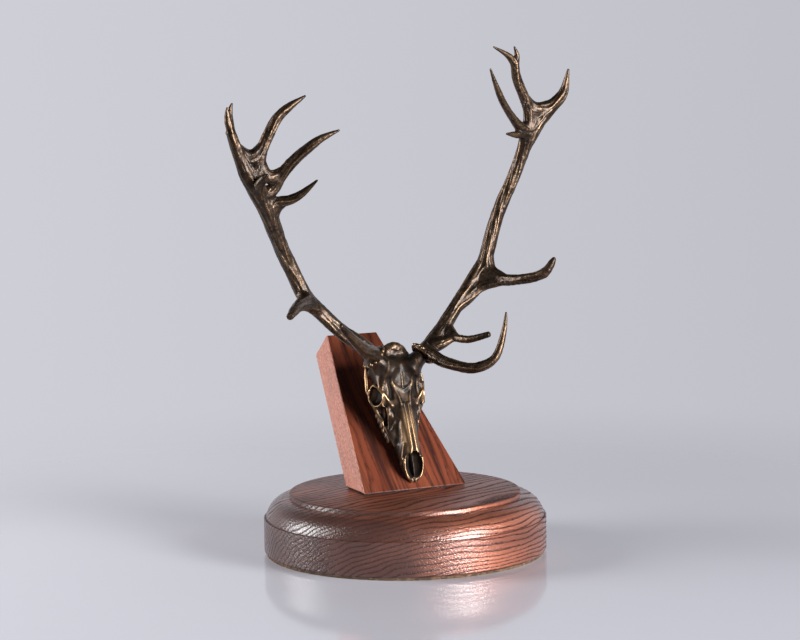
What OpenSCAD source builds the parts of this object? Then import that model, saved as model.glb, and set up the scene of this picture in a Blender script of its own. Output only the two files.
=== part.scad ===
// Stag trophy: a bronze stag skull and its two antlers on a leaning wooden plaque,
// which stands on a round turned wooden base with a cork pad under it.
// Millimetres, +Z up, the skull looks towards -Y, origin at the centre of the underside.

/* [Base] */
// Diameter of the turned base
base_d = 110; // [92:1:134]
// Height of the wooden base, without its pad
base_h = 23; // [19:0.5:30]
// Height of the upright band around the base
band_h = 13.5; // [8:0.5:15]
// How far the top disc is set in from the band, on each side
shoulder_w = 10; // [6:0.5:14]
// How far the rounded shoulder swells above a straight bevel
shoulder_swell = 1.8; // [0.5:0.1:2.5]
// Height of the rim of the top disc
disc_rim_h = 1.8; // [1:0.1:3]
// Ledge between the band and the shoulder
band_ledge = 0.7; // [0.3:0.1:1.5]
// Bevel along the lower edge of the band
band_bevel = 0.8; // [0.3:0.1:1.5]

/* [Pad] */
// Thickness of the cork pad under the base
pad_t = 1; // [0.5:0.1:2]
// How far the pad stays inside the edge of the base
pad_inset = 0.8; // [0.3:0.1:3]

/* [Plaque] */
// Length of the plaque along its front face
plaque_len = 79; // [65:0.5:95]
// Width of the plaque at its foot
plaque_foot_w = 45; // [36:0.5:54]
// Width of the plaque at its top
plaque_top_w = 22.5; // [16:0.5:30]
// Thickness of the plaque
plaque_t = 12.5; // [10:0.5:16]
// How far the plaque leans back from upright, in degrees
lean = 45; // [37:0.5:54]
// Sideways place of the plaque on the base
plaque_x = 3.5; // [-6:0.5:6]
// Place of the plaque's front foot edge, towards the back
plaque_y = -3; // [-10:0.5:4]

/* [Skull] */
// Length of the skull, nose to nape
skull_len = 56; // [47:1:67]
// How far the face lifts off the plaque, in degrees
face_tilt = 26; // [20:0.5:32]
// Distance of the nose from the plaque's foot edge
nose_up = 3; // [2:0.5:10]
// Gap that the nose keeps from the plaque
nose_gap = 0.5; // [0.4:0.1:2]
// Diameter of the cast boss that meets the plaque
boss_d = 8; // [7:0.5:11]

/* [Antlers] */
// Rise of the higher antler above its coronet
antler_rise = 121; // [100:1:146]
// Diameter of the coronet, the knobbly ring at the foot of each antler
coronet_d = 10; // [8.5:0.1:12]
// Height of the coronet along the antler
coronet_h = 2.4; // [1.5:0.1:3.5]
// Diameter of the skull's pedicle where the coronet meets it
pedicle_d = 6.4; // [5.5:0.1:8]

/* [Fixings] */
// Diameter of the pin inside each antler joint
pin_d = 2; // [1.6:0.1:2.5]
// Length of the pin on each side of the joint
pin_half = 5; // [4:0.5:6]
// Thread diameter of the stud that holds the skull
stud_d = 4; // [3:0.1:4.8]
// Depth of the stud in the skull's boss
stud_bite = 9; // [6:0.5:10]
// Depth of the nut's pocket in the back of the plaque
pocket_depth = 5.5; // [5:0.1:6]
// Diameter of the screws that hold the plaque to the base
screw_d = 3.5; // [3:0.1:4.2]
// Distance between the two screws
screw_gap = 24; // [18:0.5:30]
// Distance of the screws from the plaque's back foot edge
screw_edge = 5; // [4.5:0.5:6]
// Wood left between a screw's point and the plaque's front face
screw_cover = 1.5; // [1:0.1:2.5]
// Clearance around each pin, stud and screw
fit = 0.1; // [0.05:0.01:0.2]

/* [Hidden] */
$fn = 64;

wood_dark = [0.22, 0.09, 0.05];
wood_red = [0.42, 0.17, 0.09];
cork = [0.62, 0.44, 0.27];
bronze = [0.24, 0.18, 0.12];
steel = [0.62, 0.62, 0.64];
brass = [0.72, 0.58, 0.3];

base_r = base_d / 2;
disc_r = base_r - shoulder_w;
base_top = pad_t + base_h;
band_top = pad_t + band_h;
rim_bottom = base_top - disc_rim_h;
rim_ease = 0.4;
shoulder_steps = 10;

// The plaque's frame: x across it, y up its slope from the foot edge, z out of its front face
plaque_foot = [plaque_x, plaque_y, base_top];
slope = 90 - lean;
foot_depth = plaque_t / cos(lean);

// The skull's frame: y from the nose up the face, z out of the forehead.  Its points are
// written for a skull of this length and turned into place by the values above.
skull_drawn = 56;
skull_k = skull_len / skull_drawn;
coronet_point = [9.9, 49.4, 4.4];

// The antlers' frame: x outwards, y to the back, z up, from the middle of the coronet's foot.
// It is level on a skull that is turned up by the carriage angle.
antler_drawn = 121;
antler_k = antler_rise / antler_drawn;
carriage = 71;
antler_turn = slope + face_tilt - carriage;

// Stud, washer and nut, from the front face of the plaque to the back
boss_point = [0, 41, 0];
stud_y = nose_up + boss_point.y * skull_k;
boss_reach = 14 * skull_k;
washer_t = 0.8;
nut_h = 0.8 * stud_d;
nut_af = 1.75 * stud_d;
washer_d = nut_af / cos(30) + 1;
pocket_d = washer_d + 0.8;
pocket_floor = pocket_depth - plaque_t;
stud_end = 0.6;
stud_low = pocket_floor - washer_t - nut_h - stud_end;

// Screws from under the base into the foot of the plaque
screw_y = plaque_y + foot_depth - screw_edge;
screw_reach = foot_depth - screw_edge - (screw_d / 2 + screw_cover) / cos(lean);
screw_bite = screw_reach / tan(lean);
screw_head_d = 2 * screw_d;
screw_head_h = screw_d / 2;

// Antler limbs: each point is [out, back, up, diameter], from the beam to the tip
right_beam = [
    [0, 0, 0, 7], [4.5, 0.5, 4, 6.6], [12.5, 2, 12.5, 6], [20.5, 2.5, 22.5, 5.8],
    [27.5, 3, 31.5, 6], [31, 2.5, 37.5, 5.8], [36, 1.5, 54.5, 5.4], [42, -1, 69, 5.4],
    [45.5, -3, 80, 5.6], [46.5, -4.5, 87, 6.2]
];
right_tines = [
    // brow tine
    [[1.5, -1, 1.5, 6], [3, -8.5, -0.5, 5], [5, -15, -2, 4.7], [10.5, -24.5, -3, 4.2],
     [17, -29, 1, 3.4], [21, -29, 10.5, 2.4], [22.5, -28.5, 18.5, 0.8]],
    // bez tine
    [[10, 1.5, 9, 4.4], [12, -2.5, 7, 3], [15.5, -11, 6.5, 2.6], [20.5, -18.5, 9, 1.8]],
    // webs around the bez tine
    [[3, -1, 3, 6], [7, -3, 4.5, 5], [12, -4.5, 6.5, 2.4]],
    [[13, 2, 14.5, 5], [12.5, 0.5, 10.5, 4.4], [13.5, -6, 6.5, 2]],
    // trez tine
    [[28.5, 2, 30, 6], [33.5, -3.5, 28.5, 5], [38, -14.5, 29.3, 4.2], [43.5, -22, 32, 3.2],
     [47, -24, 38, 0.9]],
    // webs under and over the trez tine
    [[17, 2, 17.5, 4.6], [22, 1.5, 21.5, 5], [27.5, 0, 25.8, 4.4], [34, -4.5, 28, 4]],
    [[31.5, 2, 38, 4.8], [32, 0.5, 32, 5], [35.5, -7, 28.7, 3.4]],
    // crown spur
    [[45.5, -4.5, 86.5, 5], [39.5, -7.5, 86, 3], [33.5, -10.5, 86.5, 0.9]],
    // inner crown tine
    [[46, -4.5, 86.5, 6], [41, -7, 89.5, 4.2], [34.5, -10.5, 95, 3.2], [28.5, -14, 102, 2.8],
     [22.5, -17.5, 112, 0.8]],
    // middle crown tine and its two points
    [[46, -4.5, 86, 6.4], [47, -5, 91, 5.2], [45.5, -6, 97.5, 4.4], [40, -8, 107, 3.8],
     [38, -9.5, 114.5, 3.4]],
    [[38.5, -9, 112.5, 3.4], [35.5, -10, 116.5, 2.6], [27, -12, 120.5, 0.7]],
    [[38.5, -9, 112.5, 3.2], [39, -9.5, 117, 2.2], [37.5, -10, 120.5, 0.7]],
    // outer crown tine
    [[46, -4, 85.5, 6.5], [52, -5, 92, 6], [57, -6, 97, 5.4], [61.5, -7, 102, 4.2],
     [62.5, -9.5, 111.5, 0.8]],
    // knob beside the middle tine
    [[46, -6, 96.5, 3], [43.5, -8, 98, 1.4]],
    // webs of the crown
    [[44.5, -6, 101, 3], [47.8, -5.5, 96.8, 5], [51.5, -5.5, 95.8, 5.6], [58, -6, 98.6, 3]],
    [[44.5, -2.5, 77.5, 4.4], [47, -4, 84, 6], [53, -5, 92.5, 4.6]]
];
left_beam = [
    [0, 0, 0, 7], [6.5, 0.5, 6, 6.2], [14.5, 2, 12, 6], [22.5, 2.5, 19.5, 6],
    [28, 3, 25, 6.4], [33, 2.5, 34, 6], [38.5, 1, 44, 6], [43.5, -1.5, 54, 6.4],
    [47, -3.5, 61, 7], [50.5, -4.5, 66.5, 7], [55, -5.5, 73, 6.4], [58.5, -6.5, 80, 5],
    [61, -7.5, 85.5, 4.4], [63, -8, 90.5, 3.8]
];
left_tines = [
    // brow tine
    [[1.5, -1, 1.5, 6], [8, -10.5, 4.5, 4.8], [16.5, -20.5, 8, 3.6], [22.5, -28.5, 12.5, 0.9]],
    // trez tine and the web under it
    [[28.5, 2, 25.5, 6], [33, -3.5, 24, 5], [39, -11, 23, 4.2], [45, -19, 21, 2.8]],
    [[23, 2, 19.5, 4.6], [29, -0.5, 22.5, 4.6], [35, -6, 23, 3.6]],
    // inner crown tine and the web under it
    [[47, -3.5, 61, 6], [43, -5, 63, 4.8], [38.5, -7.5, 64, 3.8], [35, -10.5, 66.5, 3],
     [31, -15.5, 71.5, 0.8]],
    [[44, -2, 55, 4.6], [43.5, -4, 60.5, 4.8], [40, -6.5, 63.5, 2.8]],
    // crown spur
    [[49, -4.5, 66, 5], [52, -9, 70, 3.2], [51, -14.5, 74, 0.9]],
    // middle crown tine
    [[50, -4.5, 65.5, 6], [45, -5.5, 68, 5], [42, -7.5, 73.5, 4.6], [38.5, -10, 78.5, 4.4],
     [30.5, -14.5, 86, 3.4], [22.5, -17.5, 90, 0.8]],
    // outer crown tine
    [[55, -5.5, 71.5, 6], [51.5, -6, 75.5, 5], [50, -7, 82.5, 4.6], [47.5, -8, 88.5, 4.4],
     [44, -9, 95, 4], [39.5, -10, 99, 3.2], [33, -10.5, 103, 0.8]],
    // webs of the crown
    [[59.5, -7, 84.5, 3.2], [56, -6, 81, 5], [53, -6.5, 80.5, 5.4], [50, -7, 84.8, 3.2]],
    [[50.5, -6.5, 80, 3.6], [48.5, -6, 73.8, 5.4], [45.5, -6.5, 72.8, 5], [42, -7.5, 75.4, 3]],
    // the two points at the end of the beam
    [[62.5, -8, 88.5, 3.6], [63, -8.5, 95, 2.6], [62, -9, 100.5, 0.7]],
    [[62.5, -8, 89, 3.4], [64.5, -9, 94.5, 2.2], [64, -10, 98.5, 0.7]]
];

// Skull cross-sections from nose to nape: [along, top, roof half-width, cheek half-width,
// cheek level, underside half-width, underside level, keel level]
skull_rings = [
    [0, 0.7, 0.6, 1.5, 0.3, 0.8, -0.2, -0.3],
    [2, 1.6, 1.5, 2.9, 0.5, 2.2, -0.7, -0.8],
    [5, 3, 2.2, 3.9, 0.8, 3.2, -1.4, -1.4],
    [8, 4.4, 2.1, 4.3, 1.2, 3.8, -2, -1.8],
    [11, 5, 1.8, 4, 1.6, 3.8, -2.4, -2],
    [16, 4.7, 2, 4, 1.6, 4.6, -3.6, -2.6],
    [21, 4.4, 2.4, 4.6, 1.2, 6, -4.8, -3.4],
    [26, 4.1, 3, 5.6, 1, 7.2, -6.2, -4.6],
    [31, 3.8, 4.4, 7.2, 1, 7.6, -7.2, -6],
    [36, 3.6, 6.6, 9, 0.8, 7, -7.6, -7.5],
    [40, 3.8, 7.4, 8.2, 0.4, 6.2, -8.5, -9],
    [44, 4.6, 7.8, 7.6, 0, 6.4, -9.5, -10.5],
    [47, 3.8, 7.2, 7.6, -1.5, 6.6, -10.5, -11.5],
    [50, 2, 5, 7.8, -3, 6, -11, -12],
    [53, 1, 3.6, 6.6, -4, 4.6, -10, -11.5],
    [55.5, -2, 1.5, 3.5, -5, 2, -7.5, -8.5]
];

// Right half of the skull's ridges, each point is [across, along, out, diameter]
nasal_bone = [[1.1, 9, 4.6, 1.4], [1.4, 14, 4.1, 2.2], [1.6, 22, 3.4, 2.8], [1.9, 30, 2.7, 3.2],
              [2.1, 35.5, 2.3, 3]];
nose_prong = [[3.8, 10, 2.6, 1.8], [3.6, 6, 2, 1.6], [2.7, 2.4, 1, 1.5], [1.1, 1.3, 0.3, 1]];
cheek_ridge = [[10.4, 31.6, -2.8, 1.8], [8.2, 27, -3.4, 1.8], [6.2, 21, -2.6, 1.6],
               [4.8, 15, -1.4, 1.2]];
cheek_arch = [[10.8, 31.6, -2.6, 1.6], [12.2, 36.5, -3, 1.3], [12.2, 41, -2.8, 1.2],
              [11.4, 46, -3, 1.3], [8, 50, -4.4, 2.4]];
arch_hook = [[11, 46.6, -3.1, 1.4], [11.8, 48.4, -3, 1.1], [12.6, 48.2, -3.4, 0.8]];
tear_ridge = [[9.2, 32.2, 1.6, 1.4], [7, 29, 1.6, 1.4], [5.6, 24, 0.4, 1.2]];
brow_edge = [[9, 35, 3.2, 1.6], [9.2, 38.5, 2.4, 1.6], [8, 42, 2.2, 2]];
temple_edge = [[7.6, 41, 2.6, 1.6], [7.6, 45, 3, 1.6], [8.6, 48, 2.6, 1.4]];
forehead_crest = [[-8.4, 47.4, 3.2, 3], [-4.5, 46.4, 3.8, 2.4], [0, 46.2, 4.2, 2.2],
                  [4.5, 46.4, 3.8, 2.4], [8.4, 47.4, 3.2, 3]];
forehead_seam = [[0, 46, 4.6, 1], [0, 41, 3.7, 1], [0, 36.5, 3.2, 0.8]];
nasal_seam = [[-3.4, 38.4, 3.1, 1], [-1.8, 36.4, 3.2, 1], [0, 35.4, 3.2, 1], [1.8, 36.4, 3.2, 1],
              [3.4, 38.4, 3.1, 1]];
nape_crest = [[-6.4, 50.4, -2.6, 2], [-3.4, 53.4, 0, 2.4], [0, 54.4, 1, 3], [3.4, 53.4, 0, 2.4],
              [6.4, 50.4, -2.6, 2]];
septum = [[0, 1.6, 0, 0.8], [0, 6, 0.8, 1], [0, 14, 1.4, 1.2]];

// Hollows of the skull: the groove above the eye and the tear pit before it
brow_groove = [[4.4, 44, 4.8, 1], [4.6, 39, 4.2, 1.6], [5, 33, 3.9, 1.2]];
tear_pit = [[4.4, 24, 2.8, 1], [5.6, 27, 2.6, 2.4], [7, 30, 2.6, 1.6]];

// The pedicles' length inside and outside the forehead, and how much they widen there
pedicle_len = 8;
pedicle_flare = 4;

// Eye sockets: a bony rim around an open channel that comes out behind the cheek
orbit_point = [10.7, 35, 0];
orbit_out = [0.9, -0.1, 0.42];
orbit_rim_d = 7.2;
orbit_rim_t = 1.5;
orbit_cup_d = 8.6;
orbit_channel = [[15, 34.4, 2, 7], [10.7, 35, 0, 6.6], [8.4, 36.5, -4, 5.6], [8.2, 39, -12, 5]];

// Bony swellings under the braincase
ear_point = [5.4, 47, -11];
ear_d = 5;
condyle_point = [2.6, 53.5, -9.5];
condyle_d = 4.4;

// Nasal opening, from above the nose into the skull
nasal_channel = [[0, 0.8, 3.6, 2.6], [0, 3.4, 3.4, 5], [0, 7.4, 3.4, 5.8], [0, 10, 2.6, 5],
                 [0, 17, 1.2, 3.6]];

// Cheek teeth: the first and last of the row, and their size
teeth = 6;
tooth_first = [5.6, 18, -4.2];
tooth_last = [7.2, 29, -7.6];
tooth_size = [2, 1.7, 2.2];

// Antlers are drawn this far past the joint's face and then cut flat there
joint_sink = 1;
root_d = 7;

limb_sides = 10;
limb_steps = 4;
pearls = 16;
pearl_d = 1.5;

function unit(v) = v / norm(v);
function xyz(p) = [p[0], p[1], p[2]];
function square_to(t) = unit(cross(t, abs(t.z) < 0.8 ? [0, 0, 1] : [0, 1, 0]));
function turn_x(p, a) = [p.x, p.y * cos(a) - p.z * sin(a), p.y * sin(a) + p.z * cos(a)];

// A point of the skull's frame, in the frame of the whole object
function skull_place(p) =
    plaque_foot + turn_x([0, nose_up, nose_gap] + turn_x(p * skull_k, face_tilt), slope);

// A smooth curve through four points in turn, t from 0 to 1 between the middle two
function between(a, b, c, d, t) =
    (2 * b + (c - a) * t + (2 * a - 5 * b + 4 * c - d) * t * t
     + (3 * b - a - 3 * c + d) * t * t * t) / 2;

// A smooth curve through all the points of a list
function smooth(p, steps) =
    let (last = len(p) - 1)
    concat(
        [for (i = [0 : last - 1]) for (j = [0 : steps - 1])
            between(p[max(i - 1, 0)], p[i], p[i + 1], p[min(i + 2, last)], j / steps)],
        [p[last]]);

// A smooth closed curve through all the points of a list
function smooth_loop(p, steps) =
    let (n = len(p))
    [for (i = [0 : n - 1]) for (j = [0 : steps - 1])
        between(p[(i + n - 1) % n], p[i], p[(i + 1) % n], p[(i + 2) % n], j / steps)];

// A side direction carried along a path without twist
function carried(t) =
    [for (i = 0, u = square_to(t[0]);
          i < len(t);
          i = i + 1, u = i < len(t) ? unit(u - t[i] * (u * t[i])) : u) u];

// Rings of points around a path whose points are [x, y, z, diameter]
function limb_rings(path, sides) =
    let (last = len(path) - 1,
         t = [for (i = [0 : last])
                unit(xyz(path[min(i + 1, last)]) - xyz(path[max(i - 1, 0)]))],
         u = carried(t))
    [for (i = [0 : last])
        [for (k = [0 : sides - 1])
            let (a = 360 * k / sides)
            xyz(path[i]) + path[i][3] / 2 * (u[i] * cos(a) + cross(t[i], u[i]) * sin(a))]];

// One skull cross-section as a smooth ring, from its row of half-widths and levels
function skull_ring(row) =
    let (corners = [[0, row[1]], [row[2], row[1] - 0.4], [row[3], row[4]], [row[5], row[6]],
                    [0, row[7]], [-row[5], row[6]], [-row[3], row[4]], [-row[2], row[1] - 0.4]])
    [for (p = smooth_loop(corners, 3)) [p.x, row[0], p.y]];

// A closed skin over rings of points
module skin(rings) {
    count = len(rings);
    sides = len(rings[0]);
    walls = [for (i = [0 : count - 2]) for (k = [0 : sides - 1])
        let (a = i * sides + k, b = i * sides + (k + 1) % sides)
        each [[a, a + sides, b], [b, a + sides, b + sides]]];
    foot = [[for (k = [0 : sides - 1]) k]];
    tip = [[for (k = [sides - 1 : -1 : 0]) (count - 1) * sides + k]];
    polyhedron([for (r = rings) each r], concat(walls, foot, tip));
}

// A tapering round limb through control points
module limb(points, steps = limb_steps, sides = limb_sides) {
    skin(limb_rings(smooth(points, steps), sides));
}

// The same shape on both sides of the skull
module both_sides() {
    children();
    mirror([1, 0, 0]) children();
}

// Turns +Z towards a direction
module along(v) {
    rotate([0, acos(v.z / norm(v)), atan2(v.y, v.x)]) children();
}

module on_plaque() {
    translate(plaque_foot) rotate([slope, 0, 0]) children();
}

module on_skull() {
    on_plaque() translate([0, nose_up, nose_gap]) rotate([face_tilt, 0, 0]) scale(skull_k)
        children();
}

// The foot of one antler: side is 1 on the right and -1 on the left
module at_coronet(side) {
    translate(skull_place([side * coronet_point.x, coronet_point.y, coronet_point.z]))
        mirror([side < 0 ? 1 : 0, 0, 0]) rotate([antler_turn, 0, 0]) children();
}

function beam_of(side) = side > 0 ? right_beam : left_beam;
function tines_of(side) = side > 0 ? right_tines : left_tines;
function beam_axis(side) = unit(xyz(beam_of(side)[1]));

// The pin's bore or the pin itself, centred on the joint
module joint_pin(side, d, half) {
    at_coronet(side) along(beam_axis(side)) cylinder(h = 2 * half, d = d, center = true);
}

module plaque_stud(d, low, high) {
    on_plaque() translate([0, stud_y, low]) cylinder(h = high - low, d = d);
}

module at_screws() {
    for (side = [-1, 1])
        translate([plaque_x + side * screw_gap / 2, screw_y, pad_t]) children();
}

module screw_shape(shank, head, head_h, length) {
    cylinder(h = head_h, d1 = head, d2 = shank);
    cylinder(h = length, d = shank);
}

module round_base() {
    shoulder_low = [base_r - band_ledge, band_top];
    shoulder_high = [disc_r, rim_bottom];
    run = shoulder_high - shoulder_low;
    swell = shoulder_swell * unit([run.y, -run.x]);
    shoulder = [for (i = [0 : shoulder_steps])
        let (t = i / shoulder_steps) shoulder_low + run * t + swell * (4 * t * (1 - t))];
    profile = concat(
        [[0, pad_t], [base_r - band_bevel, pad_t], [base_r, pad_t + band_bevel],
         [base_r, band_top]],
        shoulder,
        [[disc_r, base_top - rim_ease], [disc_r - rim_ease, base_top], [0, base_top]]);
    color(wood_dark) difference() {
        rotate_extrude($fn = 96) polygon(profile);
        at_screws()
            screw_shape(screw_d + 2 * fit, screw_head_d + 2 * fit, screw_head_h, base_h);
    }
}

module base_pad() {
    color(cork) cylinder(h = pad_t, r = base_r - pad_inset, $fn = 96);
}

module plaque() {
    cut = 2 * (plaque_len + plaque_foot_w);
    color(wood_red) difference() {
        on_plaque() translate([0, 0, -plaque_t]) linear_extrude(plaque_t)
            polygon([[-plaque_foot_w / 2, 0], [plaque_foot_w / 2, 0],
                     [plaque_top_w / 2, plaque_len], [-plaque_top_w / 2, plaque_len]]);
        translate([plaque_x - cut / 2, plaque_y - cut / 2, base_top - cut]) cube(cut);
        plaque_stud(stud_d + 2 * fit, -plaque_t - 1, 1);
        plaque_stud(pocket_d, -plaque_t - 1, pocket_floor);
        at_screws() cylinder(h = base_h + screw_bite + fit, d = screw_d + 2 * fit);
    }
}

// The two rows of cheek teeth
module cheek_teeth() {
    for (i = [0 : teeth - 1])
        translate(tooth_first + (tooth_last - tooth_first) * i / (teeth - 1))
            cube(tooth_size, center = true);
}

// The raised rim of one eye socket
module orbit_rim() {
    translate(orbit_point) along(orbit_out)
        rotate_extrude($fn = 20) translate([orbit_rim_d / 2, 0]) circle(d = orbit_rim_t, $fn = 8);
}

// A thin ridge of bone, or the hollow of one
module ridge(points) {
    limb(points, steps = 3, sides = 8);
}

module skull_bone() {
    on_skull() {
        difference() {
            union() {
                skin([for (row = smooth(skull_rings, 2)) skull_ring(row)]);
                both_sides() {
                    ridge(cheek_ridge);
                    translate(orbit_point - 2 * orbit_out) sphere(d = orbit_cup_d, $fn = 16);
                    translate(ear_point) sphere(d = ear_d, $fn = 10);
                    translate(condyle_point) sphere(d = condyle_d, $fn = 10);
                }
                ridge(forehead_crest);
            }
            both_sides() {
                ridge(orbit_channel);
                ridge(brow_groove);
                ridge(tear_pit);
            }
            ridge(nasal_channel);
        }
        both_sides() {
            for (line = [nasal_bone, nose_prong, cheek_arch, arch_hook, tear_ridge, brow_edge,
                         temple_edge])
                ridge(line);
            orbit_rim();
            cheek_teeth();
        }
        for (line = [forehead_seam, nasal_seam, nape_crest, septum])
            ridge(line);
    }
}

// The pedicle that carries one antler, up to the flat face of the joint
module pedicle(side) {
    foot = -pedicle_len * skull_k * beam_axis(side);
    neck = foot / 2;
    at_coronet(side)
        limb([[each foot, pedicle_d + pedicle_flare], [each neck, pedicle_d + pedicle_flare / 4],
              [0, 0, 0, pedicle_d]]);
}

module skull() {
    color(bronze) difference() {
        resize([0, 0, 0]) union() {
            skull_bone();
            pedicle(-1);
            pedicle(1);
            plaque_stud(boss_d, 0, boss_reach);
        }
        joint_pin(-1, pin_d + 2 * fit, pin_half + fit);
        joint_pin(1, pin_d + 2 * fit, pin_half + fit);
        plaque_stud(stud_d + 2 * fit, -1, stud_bite + fit);
    }
}

// The knobbly ring at the foot of an antler, standing on the joint face
module coronet(side) {
    along(beam_axis(side)) {
        limb([[0, 0, -joint_sink, coronet_d - 1.6], [0, 0, 0.3 * coronet_h, coronet_d],
              [0, 0, 0.7 * coronet_h, coronet_d], [0, 0, coronet_h, coronet_d - 1.8]],
             steps = 2, sides = 20);
        for (i = [0 : pearls - 1])
            rotate(360 * i / pearls) translate([coronet_d / 2, 0, coronet_h / 2])
                sphere(d = pearl_d, $fn = 8);
    }
}

module antler(side) {
    difference() {
        resize([0, 0, 0]) at_coronet(side) difference() {
            union() {
                coronet(side);
                scale(antler_k) {
                    limb(concat([[each -joint_sink * beam_axis(side), root_d]], beam_of(side)));
                    for (tine = tines_of(side))
                        limb(tine);
                }
            }
            along(beam_axis(side)) translate([0, 0, -coronet_d])
                cylinder(h = coronet_d, d = coronet_d + 2);
        }
        joint_pin(side, pin_d + 2 * fit, pin_half + fit);
    }
}

module left_antler() {
    color(bronze) antler(-1);
}

module right_antler() {
    color(bronze) antler(1);
}

module left_antler_pin() {
    color(brass) joint_pin(-1, pin_d, pin_half);
}

module right_antler_pin() {
    color(brass) joint_pin(1, pin_d, pin_half);
}

module skull_stud() {
    color(steel) plaque_stud(stud_d, stud_low, stud_bite);
}

module stud_washer() {
    color(steel) difference() {
        plaque_stud(washer_d, pocket_floor - washer_t, pocket_floor);
        plaque_stud(stud_d + 2 * fit, pocket_floor - 2 * washer_t, pocket_floor + 1);
    }
}

module stud_nut() {
    nut_low = pocket_floor - washer_t - nut_h;
    color(steel) difference() {
        on_plaque() translate([0, stud_y, nut_low]) cylinder(h = nut_h, d = nut_af / cos(30), $fn = 6);
        plaque_stud(stud_d + 2 * fit, nut_low - 1, nut_low + nut_h + 1);
    }
}

module plaque_screws() {
    color(steel) at_screws()
        screw_shape(screw_d, screw_head_d, screw_head_h, base_h + screw_bite);
}

round_base();
base_pad();
plaque();
skull();
left_antler();
right_antler();
left_antler_pin();
right_antler_pin();
skull_stud();
stud_washer();
stud_nut();
plaque_screws();
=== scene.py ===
# %% [markdown]
# # A stag trophy in bronze and wood
#
# The trophy is a small bronze skull with two antlers, bolted to a leaning wooden plaque on a
# turned wooden base.  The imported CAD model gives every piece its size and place.  This lesson
# gives each piece its finished surface: cast metal with a rubbed patina, two kinds of wood and a
# layer of cork.  Everything is in metres, in the frame of the CAD model.

# %% Load the frame and keep its box
import math

import bpy
import numpy as np
from mathutils import Matrix, Vector, noise


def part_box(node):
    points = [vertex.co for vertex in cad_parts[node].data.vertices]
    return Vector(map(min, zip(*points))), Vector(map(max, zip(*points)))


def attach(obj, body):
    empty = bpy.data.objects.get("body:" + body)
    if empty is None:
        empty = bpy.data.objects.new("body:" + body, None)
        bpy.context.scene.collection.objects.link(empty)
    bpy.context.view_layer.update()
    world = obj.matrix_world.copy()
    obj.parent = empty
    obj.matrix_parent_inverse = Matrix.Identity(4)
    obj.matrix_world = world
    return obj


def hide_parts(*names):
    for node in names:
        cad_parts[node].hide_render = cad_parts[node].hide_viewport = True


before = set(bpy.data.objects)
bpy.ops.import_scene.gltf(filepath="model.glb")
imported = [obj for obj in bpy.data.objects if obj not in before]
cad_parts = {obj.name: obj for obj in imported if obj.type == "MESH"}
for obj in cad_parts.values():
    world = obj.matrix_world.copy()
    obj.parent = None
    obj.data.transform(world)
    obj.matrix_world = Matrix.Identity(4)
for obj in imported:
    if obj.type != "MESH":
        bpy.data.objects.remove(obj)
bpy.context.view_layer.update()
MM = 0.001

# %% [markdown]
# ## The camera
#
# The photograph was taken from the left and a little from above, with a long lens that keeps the
# base's ellipse flat.  The camera is turned by three angles, so its matrix is built from the view
# direction, with a small roll about it.

# %% Place the camera
CAMERA_AT = Vector((-0.4066, -0.7989, 0.1895))
CAMERA_YAW = math.radians(26.91)
CAMERA_DOWN = math.radians(6.30)
CAMERA_ROLL = math.radians(-0.74)
LENS_MM = 105
SENSOR_MM = 36
NEAREST = 0.01
FURTHEST = 20

ahead = Vector((math.sin(CAMERA_YAW) * math.cos(CAMERA_DOWN),
                math.cos(CAMERA_YAW) * math.cos(CAMERA_DOWN),
                -math.sin(CAMERA_DOWN)))
across = Vector((math.cos(CAMERA_YAW), -math.sin(CAMERA_YAW), 0))
away = Vector((math.sin(CAMERA_YAW), math.cos(CAMERA_YAW), 0))
right = Matrix.Rotation(-CAMERA_ROLL, 3, ahead) @ across
up = right.cross(ahead)

camera_data = bpy.data.cameras.new("camera")
camera_data.lens = LENS_MM
camera_data.sensor_width = SENSOR_MM
camera_data.sensor_fit = "HORIZONTAL"
camera_data.clip_start = NEAREST
camera_data.clip_end = FURTHEST
camera = bpy.data.objects.new("camera", camera_data)
turn = Matrix((right, up, -ahead)).transposed().to_4x4()
camera.matrix_world = Matrix.Translation(CAMERA_AT) @ turn
bpy.context.scene.collection.objects.link(camera)
bpy.context.scene.camera = camera
bpy.context.scene.view_settings.view_transform = "Standard"
print("camera looks along", [round(c, 3) for c in ahead])

# %% [markdown]
# ## Small helpers
#
# Operators act on what is selected, so each step first selects one object alone.  Materials are
# built from nodes, and `add` makes one node, sets its values and links its inputs in one call.
# That is shorter than making every link by itself, and a material then reads from top to bottom.

# %% Select and apply
def only(piece):
    """Selects one object alone and makes it the active one."""
    bpy.ops.object.select_all(action="DESELECT")
    piece.select_set(True)
    bpy.context.view_layer.objects.active = piece


def apply_modifier(piece, kind, **settings):
    """Adds a modifier with its settings and applies it."""
    only(piece)
    modifier = piece.modifiers.new(kind.lower(), kind)
    for name, value in settings.items():
        setattr(modifier, name, value)
    bpy.ops.object.modifier_apply(modifier=modifier.name)


print("selection helpers ready")

# %% Build nodes
def feed(tree, node, inputs):
    """Sets inputs of a node, each to a value or to the output socket that feeds it."""
    for name, value in inputs.items():
        socket = node.inputs[name]
        if isinstance(value, bpy.types.NodeSocket):
            tree.links.new(value, socket)
        else:
            socket.default_value = value


def add(tree, kind, inputs=None, **settings):
    """Adds a shader node with its settings and feeds its inputs."""
    made = tree.nodes.new("ShaderNode" + kind)
    for name, value in settings.items():
        setattr(made, name, value)
    feed(tree, made, inputs or {})
    return made


def math_node(tree, operation, a, b, clamp=False):
    """One step of arithmetic between two values or sockets."""
    return add(tree, "Math", {0: a, 1: b}, operation=operation, use_clamp=clamp).outputs[0]


def times(tree, a, b, clamp=False):
    """The product of two values or sockets."""
    return math_node(tree, "MULTIPLY", a, b, clamp)


def dot(tree, vector, way):
    """How far a vector points along a way."""
    made = add(tree, "VectorMath", {0: vector, 1: way}, operation="DOT_PRODUCT")
    return made.outputs["Value"]


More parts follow.
